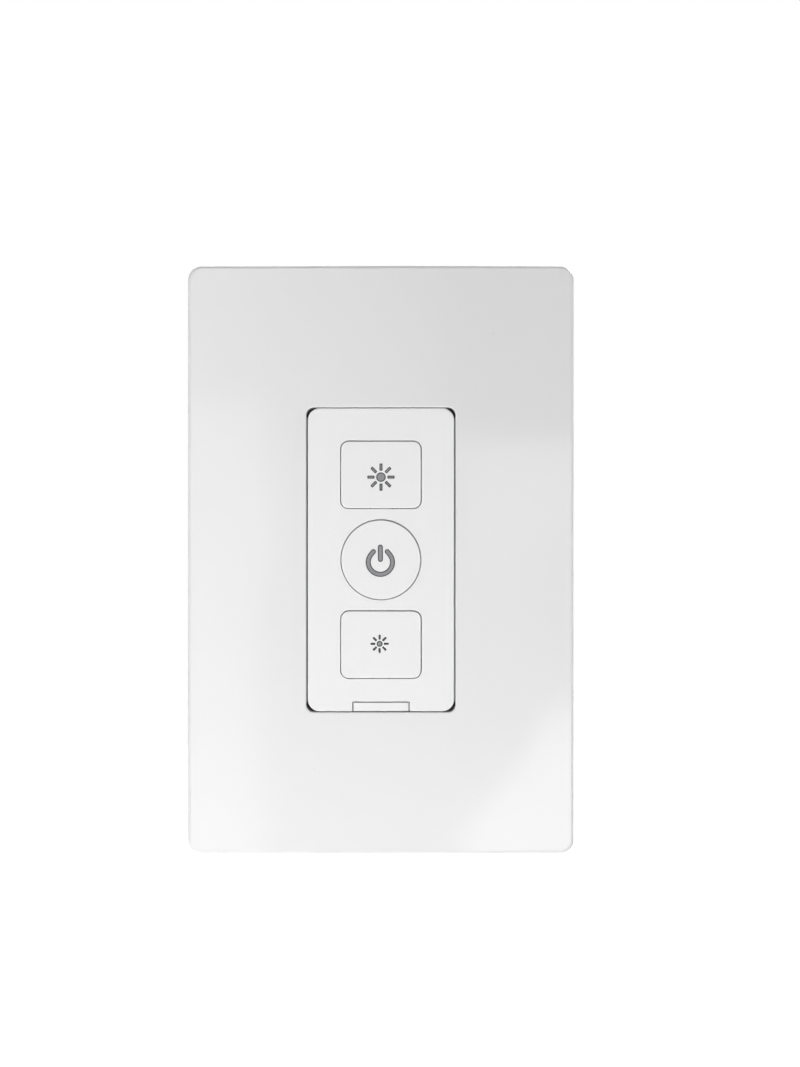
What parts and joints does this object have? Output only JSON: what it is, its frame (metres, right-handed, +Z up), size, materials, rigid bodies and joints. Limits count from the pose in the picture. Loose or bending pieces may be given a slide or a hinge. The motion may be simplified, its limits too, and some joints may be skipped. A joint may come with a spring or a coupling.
{
  "type": "wall dimmer switch",
  "caption": "Wall dimmer with rounded brighten and dim buttons, a round power button, an air-gap pull tab, a clip-on cover plate, a mounting strap and side screw terminals.",
  "frame": {"origin": "on the wall surface, behind the centre of the insert", "axes": "+X to the right as seen from the room, +Y into the wall, +Z up"},
  "size_m": [0.0848, 0.0406, 0.129],
  "materials": {
    "plate_plastic": "glossy moulded white polycarbonate",
    "insert_plastic": "satin moulded white polycarbonate",
    "icon_plastic": "translucent grey moulded polycarbonate",
    "carrier_plastic": "plain moulded dark grey nylon",
    "strap_steel": "zinc-plated stamped sheet steel",
    "screw_steel": "zinc-plated turned and rolled steel",
    "green_screw": "steel dyed green",
    "brass": "stamped and turned brass",
    "retainer_card": "pressed fibre washer",
    "housing_plastic": "fine-textured black moulded polycarbonate",
    "board_laminate": "glass-epoxy laminate under green solder mask",
    "insulator_film": "die-cut insulating film",
    "switch_plastic": "black moulded nylon",
    "plunger_plastic": "ivory moulded acetal",
    "dome_steel": "pressed stainless spring steel",
    "lamp_resin": "pale phosphor resin",
    "can_steel": "tin-plated pressed steel",
    "package_epoxy": "black moulded epoxy",
    "header_plastic": "black moulded nylon",
    "sink_aluminium": "plain bent sheet aluminium",
    "capacitor_sleeve": "black shrink sleeve over an aluminium can",
    "film_case": "yellow potted case",
    "winding_tape": "yellow tape over a winding and ferrite core",
    "ferrite": "dark grey ferrite with shrink sleeve",
    "varistor_epoxy": "blue dipped epoxy",
    "fuse_case": "black moulded fuse case"
  },
  "bodies": {
    "chassis": {"carrier_plate": "carrier_plastic", "carrier_screws": "screw_steel", "mounting_strap": "strap_steel", "box_screws": "screw_steel", "screw_retainers": "retainer_card", "ground_screw": "green_screw", "insert_frame": "insert_plastic", "switch_bodies": "switch_plastic", "snap_domes": "dome_steel", "mains_contacts": "brass", "insulator_sheet": "insulator_film", "control_board": "board_laminate", "backlight_leds": "lamp_resin", "radio_module": "board_laminate", "radio_can": "can_steel", "control_chip": "package_epoxy", "header_pins": "brass", "header_strip": "header_plastic", "header_socket": "header_plastic", "power_board": "board_laminate", "board_screws": "screw_steel", "heat_sink": "sink_aluminium", "dimming_transistors": "package_epoxy", "bulk_capacitor": "capacitor_sleeve", "supply_transformer": "winding_tape", "filter_choke": "ferrite", "film_capacitor": "film_case", "converter_coil": "ferrite", "varistor": "varistor_epoxy", "fuse": "fuse_case", "rectifier": "package_epoxy", "rear_housing": "housing_plastic", "housing_screws": "screw_steel", "line_terminal": "brass", "load_terminal": "brass", "neutral_terminal": "brass", "traveller_terminal": "brass", "terminal_clamps": "screw_steel", "brass_terminal_screws": "brass", "neutral_terminal_screw": "screw_steel"},
    "cover": {"cover_plate": "plate_plastic"},
    "brighten": {"brighten_button": "insert_plastic", "brighten_icon": "icon_plastic", "brighten_plunger": "plunger_plastic"},
    "power": {"power_button": "insert_plastic", "power_icon": "icon_plastic", "power_plunger": "plunger_plastic"},
    "dim": {"dim_button": "insert_plastic", "dim_icon": "icon_plastic", "dim_plunger": "plunger_plastic"},
    "air_gap": {"air_gap_tab": "insert_plastic", "contact_bridge": "brass"}
  },
  "joints": [
    {"name": "cover_pull", "type": "slide", "parent": "chassis", "child": "cover", "axis": [0, -1, 0], "range_m": [0, 0.015]},
    {"name": "brighten_press", "type": "slide", "parent": "chassis", "child": "brighten", "axis": [0, 1, 0], "range_m": [0, 0.0005], "stiffness_N_per_m": 1500, "springref_m": -0.0005},
    {"name": "power_press", "type": "slide", "parent": "chassis", "child": "power", "axis": [0, 1, 0], "range_m": [0, 0.0005], "stiffness_N_per_m": 1500, "springref_m": -0.0005},
    {"name": "dim_press", "type": "slide", "parent": "chassis", "child": "dim", "axis": [0, 1, 0], "range_m": [0, 0.0005], "stiffness_N_per_m": 1500, "springref_m": -0.0005},
    {"name": "air_gap_pull", "type": "slide", "parent": "chassis", "child": "air_gap", "axis": [0, -1, 0], "range_m": [0, 0.0025]}
  ]
}
